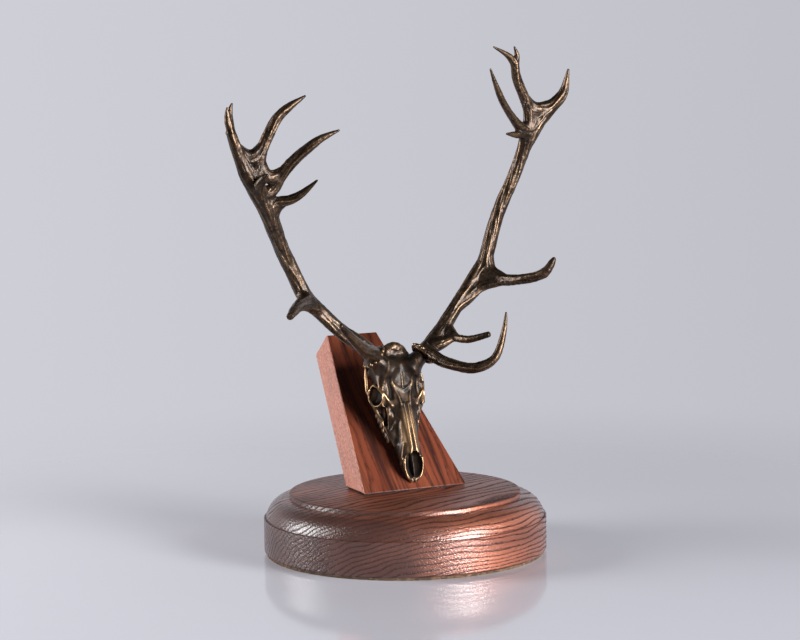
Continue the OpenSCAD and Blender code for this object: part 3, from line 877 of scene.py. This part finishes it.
# %% Set up a lathe
def lathe(name, sides, profile):
    """A closed turned piece: profile is (radius, height) from the bottom up."""
    bpy.ops.object.select_all(action="DESELECT")
    (first_r, first_z), (second_r, second_z) = profile[:2]
    bpy.ops.mesh.primitive_cylinder_add(vertices=sides, radius=first_r, depth=second_z - first_z,
                                        location=(0, 0, (first_z + second_z) / 2))
    piece = bpy.context.active_object
    piece.name = name
    bpy.ops.object.transform_apply(location=True, rotation=True, scale=True)
    bpy.ops.object.mode_set(mode="EDIT")
    bpy.ops.mesh.select_mode(type="FACE")
    bpy.ops.mesh.select_all(action="DESELECT")
    bpy.ops.object.mode_set(mode="OBJECT")
    for face in piece.data.polygons:
        face.select = face.normal.z > 0.9
    bpy.ops.object.mode_set(mode="EDIT")
    scale = second_r / first_r
    bpy.ops.transform.resize(value=(scale, scale, 1))
    for (low_r, low_z), (high_r, high_z) in zip(profile[1:], profile[2:]):
        bpy.ops.mesh.extrude_region_move(
            TRANSFORM_OT_translate={"value": (0, 0, high_z - low_z)})
        scale = high_r / low_r
        bpy.ops.transform.resize(value=(scale, scale, 1))
    bpy.ops.object.mode_set(mode="OBJECT")
    return piece


print("lathe ready")

# %% Turn the base
base_low, base_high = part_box("round_base")
BASE_R = (base_high.x - base_low.x) / 2
BASE_CHAMFER = 0.8 * MM
BAND_TOP = base_low.z + 13.5 * MM
DISC_R = BASE_R - 10 * MM
RIM_LOW = base_high.z - 1.8 * MM
LEDGE = 0.7 * MM
SWELL = 2.3 * MM
EDGE = 0.25 * MM
SCORE = 0.4 * MM
TURN_SIDES = 192
SHOULDER_STEPS = 10


def shoulder(t):
    """The rounded shoulder at share t of its way from the ledge to the disc."""
    low = Vector((BASE_R - LEDGE, BAND_TOP))
    high = Vector((DISC_R, RIM_LOW))
    run = high - low
    out = Vector((run.y, -run.x)).normalized()
    return tuple(low + run * t + out * SWELL * 4 * t * (1 - t))


profile = [(BASE_R - BASE_CHAMFER, base_low.z), (BASE_R, base_low.z + BASE_CHAMFER),
           (BASE_R, BAND_TOP - EDGE), (BASE_R - EDGE, BAND_TOP), (BASE_R - LEDGE, BAND_TOP - SCORE)]
profile += [shoulder(i / SHOULDER_STEPS) for i in range(SHOULDER_STEPS + 1)]
profile += [(DISC_R, base_high.z - 2 * EDGE), (DISC_R - EDGE, base_high.z - EDGE / 2),
            (DISC_R - 2 * EDGE, base_high.z)]
base = lathe("turned_base", TURN_SIDES, profile)
print("turned base:", len(base.data.polygons), "faces")

# %% [markdown]
# ## The leaning plaque
#
# The plaque is a sawn board: tapered, leaning back, a little wider at its back, with its edges eased
# by sandpaper and a small chamfer round its foot.  A cube is added and its corners are moved to the
# board's own, then its edges are bevelled.  Each face stores how much light is painted on it, as
# lighter flanks and a painted highlight on the small eased faces on the left, and whether it is the
# foot chamfer, where shade is painted dark.

# %% Shape the plaque
PLAQUE_LEN = 79 * MM
PLAQUE_FOOT_W = plaque_high.x - plaque_low.x
PLAQUE_TOP_W = 22.5 * MM
PLAQUE_T = 12.5 * MM
PLAQUE_EASE = 0.4 * MM
PLAQUE_FLARE = 1.0 * MM
FOOT_CHAMFER = 0.8 * MM
FOOT_LINE = plaque_low.z + 0.01 * MM
foot_depth = PLAQUE_T / math.cos(SLOPE)


def plaque_corner(side, top, back):
    """A corner of the board: side is -1 or 1, top and back are 0 or 1."""
    flare = back * PLAQUE_FLARE
    if top:
        half = PLAQUE_TOP_W / 2 + flare
        return on_plaque @ Vector((side * half, PLAQUE_LEN, -back * PLAQUE_T))
    taper = (PLAQUE_TOP_W / PLAQUE_FOOT_W - 1) / PLAQUE_LEN
    half = PLAQUE_FOOT_W / 2 * (1 + back * PLAQUE_T * math.tan(SLOPE) * taper) + flare
    return plaque_foot + Vector((side * half, back * foot_depth, 0))


def select_edges(piece, wanted):
    """Selects the edges whose two ends both answer to wanted."""
    only(piece)
    bpy.ops.object.mode_set(mode="EDIT")
    bpy.ops.mesh.select_mode(type="EDGE")
    bpy.ops.mesh.select_all(action="DESELECT")
    bpy.ops.object.mode_set(mode="OBJECT")
    for edge in piece.data.edges:
        edge.select = all(wanted(piece.data.vertices[i].co) for i in edge.vertices)
    bpy.ops.object.mode_set(mode="EDIT")


bpy.ops.object.select_all(action="DESELECT")
bpy.ops.mesh.primitive_cube_add(size=2)
plaque = bpy.context.active_object
plaque.name = "leaning_plaque"
for vertex in plaque.data.vertices:
    side, back, top = vertex.co
    vertex.co = plaque_corner(side, top > 0, back > 0)
select_edges(plaque, lambda co: co.z < FOOT_LINE)
bpy.ops.mesh.bevel(offset=FOOT_CHAMFER, segments=1, affect="EDGES")
bpy.ops.object.mode_set(mode="OBJECT")
select_edges(plaque, lambda co: co.z > FOOT_LINE)
bpy.ops.mesh.bevel(offset=PLAQUE_EASE, segments=3, affect="EDGES")
bpy.ops.object.mode_set(mode="OBJECT")
print("plaque:", len(plaque.data.polygons), "faces")

# %% Mark the painted light on the flanks and the painted shade at the foot
EASED_AREA = 30 * MM ** 2
# Painted light: a highlight on the small eased faces on the left, and lighter flanks.
EASED_PAINTED_HIGHLIGHT = 0.6
FLANK_PAINTED_LIGHT = 0.6


def painted_light_share(face):
    """How much light is painted on a face of the board: a highlight on the small eased faces on the
    left, and lighter flanks.
    """
    if face.area < EASED_AREA:
        return EASED_PAINTED_HIGHLIGHT if face.normal.x < -0.2 else 0.0
    return FLANK_PAINTED_LIGHT if abs(face.normal.x) > 0.8 else 0.0


def at_foot(face):
    """1 on the chamfer round the foot, where shade is painted dark, and 0 elsewhere."""
    return float(face.center.z < plaque_low.z + FOOT_CHAMFER and face.normal.z < -0.1)


for name, measure in (("pale", painted_light_share), ("foot_shade", at_foot)):
    layer = plaque.data.attributes.new(name, "FLOAT", "FACE")
    marks = [measure(face) for face in plaque.data.polygons]
    layer.data.foreach_set("value", marks)
    print(name, "faces:", sum(mark > 0 for mark in marks))

# %% [markdown]
# ## Holes for the fixings
#
# A nut sits in a round pocket behind the plaque and holds the skull's stud; two screws come up
# from under the base.  The pocket is drilled with a cylinder, and the stud and the screws cut
# their own holes, so each hole is where its fixing is.

# %% Drill the wood
POCKET_R = 4.94 * MM
POCKET_DEPTH = 5.5 * MM
STUD_UP = 44 * MM
SMOOTH_UNDER = math.radians(32)
bpy.ops.object.select_all(action="DESELECT")
bpy.ops.mesh.primitive_cylinder_add(vertices=64, radius=POCKET_R, depth=2 * POCKET_DEPTH,
                                    location=on_plaque @ Vector((0, STUD_UP, -PLAQUE_T)),
                                    rotation=(SLOPE, 0, 0))
combine(plaque, bpy.context.active_object, "DIFFERENCE")
combine(plaque, merged_copy("skull_stud", "cutter"), "DIFFERENCE")
combine(plaque, merged_copy("plaque_screws", "cutter"), "DIFFERENCE")
combine(base, merged_copy("plaque_screws", "cutter"), "DIFFERENCE")
for piece in (plaque, base):
    only(piece)
    bpy.ops.object.shade_smooth_by_angle(angle=SMOOTH_UNDER)
    print(piece.name, len(piece.data.polygons), "faces after drilling")

# %% [markdown]
# ## Dark stained wood
#
# The base is stained dark and has a satin lacquer.  The grain crosses the board from front left to
# back right, and the pith of the tree lies below it in front, on the right as the camera sees it.
# A flat picture of grain would not turn the corners, but rings in space do: they climb from the left
# end of the band, where the grain ends, and lie nearly level on its right.  End grain drinks the
# stain and turns nearly black, while fibres seen from the side throw a warm gloss.  How far the
# surface faces along the grain tells the two apart.

# %% Finish the base
GRAIN_SKEW = math.radians(-45)
grain_turn = CAMERA_YAW + GRAIN_SKEW
grain_way = Vector((math.cos(grain_turn), -math.sin(grain_turn), 0))
BASE_PITH = (0, -62, -75)
BASE_RING = 1.8
BASE_WANDER = 6.0
WARM_STAIN = (0.46, 0.160, 0.095)
DEEP_STAIN = (0.27, 0.092, 0.057)
END_GRAIN = (0.030, 0.015, 0.014)


def end_grain_share(tree, normal):
    """1 where the surface cuts across the grain, 0 where the grain runs along it."""
    facing = dot(tree, normal, grain_way)
    rise = add(tree, "SeparateXYZ", {"Vector": normal}).outputs["Z"]
    level = math_node(tree, "SUBTRACT", 1.15, times(tree, rise, rise))
    facing = math_node(tree, "DIVIDE", times(tree, facing, facing), level)
    return spread(tree, facing, 0.06, 0.42)


def dark_wood_material():
    """Stained wood with dark end grain under a satin lacquer."""
    material, tree, shader = new_material("dark_stained_wood")
    point, rings = ringed(tree, (0, 0, grain_turn), BASE_PITH, BASE_RING, BASE_WANDER)
    place = add(tree, "TexCoord").outputs
    end_grain = end_grain_share(tree, place["Normal"])
    wood = ramp(tree, rings["Tone"], [(0.35, WARM_STAIN), (0.65, DEEP_STAIN)])
    wood = layered(tree, wood, [
        (spread(tree, rings["Fibre"], 0.4, 0.7), 0.45, (0.100, 0.032, 0.021)),
        (rings["Early"], 0.75, (0.060, 0.019, 0.014)),
        (rings["Pores"], 0.9, (0.010, 0.004, 0.004)),
        (end_grain, 0.8, END_GRAIN)])
    relief = lacquered(tree, point, rings, 0.04 * MM, 0.14 * MM)
    rough = spread(tree, rings["Fibre"], 0.3, 0.7, 0.48, 0.56)
    # The disc is polished less than the shoulder and the band, and open pores take less lacquer.
    height = add(tree, "SeparateXYZ", {"Vector": place["Object"]}).outputs["Z"]
    polish = spread(tree, height, RIM_LOW + MM, RIM_LOW, 0.4, 1.0)
    closed = spread(tree, rings["Early"], 0.0, 0.8, 1.0, 0.25)
    feed(tree, shader, {
        "Base Color": wood,
        "Metallic": spread(tree, end_grain, 0, 1, 0.7, 0.0),
        "Roughness": math_node(tree, "ADD", rough, times(tree, rings["Pores"], 0.3)),
        "Normal": relief,
        "Coat Normal": relief,
        "Coat Weight": times(tree, polish, closed),
        "Coat Roughness": 0.14,
        "Coat IOR": 1.65,
        "Specular IOR Level": 0.15})
    return material


wear(base, dark_wood_material())
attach(base, "root")
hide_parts("round_base")
print("base finished in", base.active_material.name)

# %% [markdown]
# ## Red brown wood
#
# The plaque is a redder wood with dark streaks that run up the slope, under a thin lacquer.  The
# ring group serves again, with its grain turned up the slope.  The flanks get painted light, dotted
# with fibres, the eased left edges get a painted highlight, and the foot chamfer gets painted shade:
# the values stored on the faces mix these in.

# %% Finish the plaque
PLAQUE_TURN = (-SLOPE, 0, math.radians(-90))
PLAQUE_PITH = (0, 70, -60)
PLAQUE_RING = 2.6
PLAQUE_WANDER = 7.0
RED_WOOD = (0.25, 0.066, 0.031)
RED_SHADE = (0.17, 0.039, 0.018)
PAINTED_LIGHT_FLANK = (0.78, 0.36, 0.27)
# Painted shade for the chamfer round the foot.
FOOT_SHADE_DARK = (0.020, 0.016, 0.016)


def red_wood_material():
    """Red wood with dark streaks, with painted light on its flanks and painted shade at its foot."""
    material, tree, shader = new_material("red_brown_wood")
    point, rings = ringed(tree, PLAQUE_TURN, PLAQUE_PITH, PLAQUE_RING, PLAQUE_WANDER)
    wood = ramp(tree, rings["Tone"], [(0.35, RED_WOOD), (0.65, RED_SHADE)])
    wood = layered(tree, wood, [
        (spread(tree, rings["Fibre"], 0.4, 0.7), 0.5, (0.110, 0.027, 0.015)),
        (rings["Early"], 0.5, (0.090, 0.022, 0.013)),
        (rings["Streak"], 0.85, (0.022, 0.008, 0.007)),
        (rings["Pores"], 0.8, (0.025, 0.008, 0.007))])
    dots = spread(tree, rings["Fibre"], 0.42, 0.60, 0.40, 1.30)
    # Painted light on the flanks and a painted highlight on the eased left edges, broken by fibre
    # dots.
    wood = mix(tree, times(tree, stored(tree, "pale"), dots, clamp=True), wood, PAINTED_LIGHT_FLANK)
    # Painted shade on the foot chamfer.
    wood = mix(tree, stored(tree, "foot_shade"), wood, FOOT_SHADE_DARK)
    feed(tree, shader, {
        "Base Color": wood,
        "Roughness": spread(tree, rings["Fibre"], 0.3, 0.7, 0.36, 0.48),
        "Normal": lacquered(tree, point, rings, 0.04 * MM, 0.06 * MM),
        "Specular IOR Level": 0.3})
    return material


wear(plaque, red_wood_material())
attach(plaque, "root")
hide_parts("plaque")
print("plaque finished in", plaque.active_material.name)

# %% [markdown]
# ## The cork pad
#
# A thin sheet of cork is glued under the base and trimmed by hand, so its edge is a little ragged.
# The lathe turns the sheet with four rows of points, and noise moves each point in or out by a
# fraction of a millimetre, which a bump in the material could not show in outline.

# %% Cut the pad
pad_low, pad_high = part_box("base_pad")
PAD_R = (pad_high.x - pad_low.x) / 2
PAD_SIDES = 256
PAD_ROWS = (0.33 * MM, 0.66 * MM)
RAGGED = 0.2 * MM
heights = [pad_low.z, *(pad_low.z + row for row in PAD_ROWS), pad_high.z]
pad = lathe("cork_pad", PAD_SIDES, [(PAD_R, height) for height in heights])
for vertex in pad.data.vertices:
    place = vertex.co.copy()
    rough = noise.noise(place / (1.5 * MM)) + 0.6 * noise.noise(place / (0.5 * MM))
    vertex.co.xy *= 1 + rough * RAGGED / PAD_R - RAGGED / PAD_R
only(pad)
bpy.ops.object.shade_smooth_by_angle(angle=math.radians(40))
print("pad:", len(pad.data.polygons), "faces")

# %% Finish the pad
CORK = [(0.0, (0.050, 0.028, 0.016)), (0.6, (0.100, 0.057, 0.032)), (1.0, (0.180, 0.110, 0.062))]
CORK_SPECK = (0.025, 0.014, 0.009)


def cork_material():
    """Grains in a range of browns, with dark specks."""
    material, tree, shader = new_material("cork")
    at = object_point(tree)
    grain = add(tree, "TexVoronoi", {"Vector": at, "Scale": 900}).outputs["Color"]
    tone = add(tree, "SeparateColor", {"Color": grain}).outputs[0]
    fine = noise_value(tree, at, 1800, 4)
    specks = spread(tree, fine, 0.55, 0.75)
    bump = add(tree, "Bump", {"Height": fine, "Strength": 0.6, "Distance": 0.2 * MM})
    feed(tree, shader, {
        "Base Color": mix(tree, specks, ramp(tree, tone, CORK), CORK_SPECK),
        "Normal": bump.outputs["Normal"],
        "Roughness": 0.9})
    return material


wear(pad, cork_material())
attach(pad, "root")
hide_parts("base_pad")
print("pad finished in", pad.active_material.name)

# %% [markdown]
# ## Pins, stud and screws
#
# The fixings are hidden but for the nut behind the plaque.  Their CAD shapes are right, so they stay
# and only get a metal: zinc plated steel, or drawn brass for the antlers' pins.

# %% Finish the fixings
def drawn_metal(name, dark, light):
    """Bright metal, finely uneven in colour and gloss."""
    material, tree, shader = new_material(name)
    uneven = noise_value(tree, object_point(tree), 1500, 4)
    feed(tree, shader, {
        "Base Color": ramp(tree, uneven, [(0.3, dark), (0.7, light)]),
        "Roughness": spread(tree, uneven, 0.3, 0.7, 0.28, 0.45),
        "Metallic": 1})
    return material


steel = drawn_metal("zinc_plated_steel", (0.42, 0.42, 0.44), (0.62, 0.62, 0.64))
brass = drawn_metal("drawn_brass", (0.48, 0.33, 0.14), (0.66, 0.48, 0.22))
for node in ("skull_stud", "stud_washer", "stud_nut", "plaque_screws"):
    wear(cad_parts[node], steel)
for node in ("left_antler_pin", "right_antler_pin"):
    wear(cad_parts[node], brass)
print("fixings finished in", steel.name, "and", brass.name)

# %% [markdown]
# ## Floor, backdrop and light
#
# The trophy stands on a glossy pale sheet that runs on into a pale backdrop with no edge in
# sight.  The floor is a plane that fades out behind the trophy and just in front of the picture,
# and the world behind it has the same colour, for the camera and for reflections alike.  The
# camera sees that colour all round, but the light of the world is dark on the camera's side, as a
# studio is, so the metal has contrast.  Three soft boxes light the trophy: a low one and a high one
# on the right and a window on the left.  They shine past the floor, so that the low one also lights
# the band of the base from below.  The floor has its own three boxes, which it doesn't mirror, so
# that it stays plain from every side.

# %% Lay the floor
FLOOR_SIZE = 3.0
FLOOR_FADE = (0.12, 0.42)
FLOOR_FRONT = (-0.21, -0.16)
FLOOR_ASIDE = (-0.15, 0.15)
# Painted shade: across this range the floor's colour goes from the left one to the darker right one.
FLOOR_LEFT = (0.77, 0.77, 0.85)
FLOOR_RIGHT = (0.61, 0.61, 0.68)
FLOOR_ROUGH = 0.09
bpy.ops.object.select_all(action="DESELECT")
bpy.ops.mesh.primitive_plane_add(size=FLOOR_SIZE)
floor = bpy.context.active_object
floor.name = "floor"


def floor_material():
    """A glossy sheet with painted shade that makes it darker on the right; it fades out behind and
    in front.
    """
    material, tree, shader = new_material("pale_floor")
    at = object_point(tree)
    aside = spread(tree, dot(tree, at, across), *FLOOR_ASIDE)
    feed(tree, shader, {"Base Color": mix(tree, aside, FLOOR_LEFT, FLOOR_RIGHT),
                        "Roughness": FLOOR_ROUGH})
    distance = add(tree, "VectorMath", {0: at}, operation="LENGTH").outputs["Value"]
    near = add(tree, "MapRange", {"Value": distance, "From Min": FLOOR_FADE[1],
                                  "From Max": FLOOR_FADE[0]}, interpolation_type="SMOOTHSTEP")
    front = spread(tree, dot(tree, at, away), *FLOOR_FRONT)
    shown = times(tree, near.outputs["Result"], front)
    clear = add(tree, "BsdfTransparent")
    faded = add(tree, "MixShader", {0: shown, 1: clear.outputs[0], 2: shader.outputs[0]})
    feed(tree, tree.nodes["Material Output"], {"Surface": faded.outputs[0]})
    return material


wear(floor, floor_material())
print("floor laid,", FLOOR_SIZE, "m wide")

# %% Hang the backdrop
BACKDROP_LEFT = (0.62, 0.62, 0.675)
BACKDROP_RIGHT = (0.53, 0.53, 0.585)
ROOM = (0.018, 0.018, 0.020)
BACKDROP_ASIDE = (-0.17, 0.17)
BEHIND = (0.0, 0.55)
OVERHEAD = (0.6, 0.35)


def studio_world():
    """A pale backdrop behind the trophy and a dark room on the camera's side."""
    world = bpy.data.worlds.new("studio")
    world.use_nodes = True
    tree = world.node_tree
    look = add(tree, "TexCoord").outputs["Generated"]
    aside = spread(tree, dot(tree, look, across), *BACKDROP_ASIDE)
    backdrop = mix(tree, aside, BACKDROP_LEFT, BACKDROP_RIGHT)
    lit = times(tree, spread(tree, dot(tree, look, away), *BEHIND),
                spread(tree, dot(tree, look, (0, 0, 1)), *OVERHEAD))
    around = mix(tree, lit, ROOM, backdrop)
    seen = add(tree, "LightPath").outputs["Is Camera Ray"]
    feed(tree, tree.nodes["Background"], {"Color": mix(tree, seen, around, backdrop)})
    return world


bpy.context.scene.world = studio_world()
print("backdrop hung")

# %% Hang the lights
TROPHY_MIDDLE = Vector((0, 0, 0.07))
LAMP_DISTANCE = 1.0
# A linked lamp lights what its collection includes, or all but what the collection excludes.
floor_only = bpy.data.collections.new("floor_only")
floor_only.objects.link(floor)
all_but_floor = bpy.data.collections.new("all_but_floor")
all_but_floor.objects.link(floor)
all_but_floor.collection_objects[0].light_linking.link_state = "EXCLUDE"


def soft_box(name, azimuth, elevation, width, tall, radiance, receivers):
    """A soft box that faces the trophy; angles in degrees, azimuth to the right of the camera."""
    lamp = bpy.data.lights.new(name, "AREA")
    lamp.shape = "RECTANGLE"
    lamp.size = width
    lamp.size_y = tall
    lamp.energy = radiance * math.pi * width * tall
    box = bpy.data.objects.new(name, lamp)
    bpy.context.scene.collection.objects.link(box)
    turn_by, rise = math.radians(azimuth), math.radians(elevation)
    level_way = across * math.sin(turn_by) - away * math.cos(turn_by)
    way = level_way * math.cos(rise) + Vector((0, 0, math.sin(rise)))
    box.location = TROPHY_MIDDLE + way * LAMP_DISTANCE
    box.rotation_euler = (-way).to_track_quat("-Z", "Y").to_euler()
    box.light_linking.receiver_collection = receivers
    if receivers == all_but_floor:
        box.light_linking.blocker_collection = all_but_floor
    else:
        box.visible_glossy = False


# Each box has its name, azimuth, elevation, width, height, radiance and what it lights.
SOFT_BOXES = (("right_strip", 47, 3, 0.42, 0.36, 34, all_but_floor),
              ("high_box", 60, 21, 0.42, 0.18, 24, all_but_floor),
              ("left_window", -90, 12, 0.50, 0.62, 12, all_but_floor),
              ("right_strip_on_floor", 47, 7, 0.42, 0.24, 32, floor_only),
              ("high_box_on_floor", 60, 21, 0.42, 0.18, 22, floor_only),
              ("left_window_on_floor", -90, 16, 0.50, 0.50, 15, floor_only))
for light in SOFT_BOXES:
    soft_box(*light)
print(len(SOFT_BOXES), "soft boxes hung")
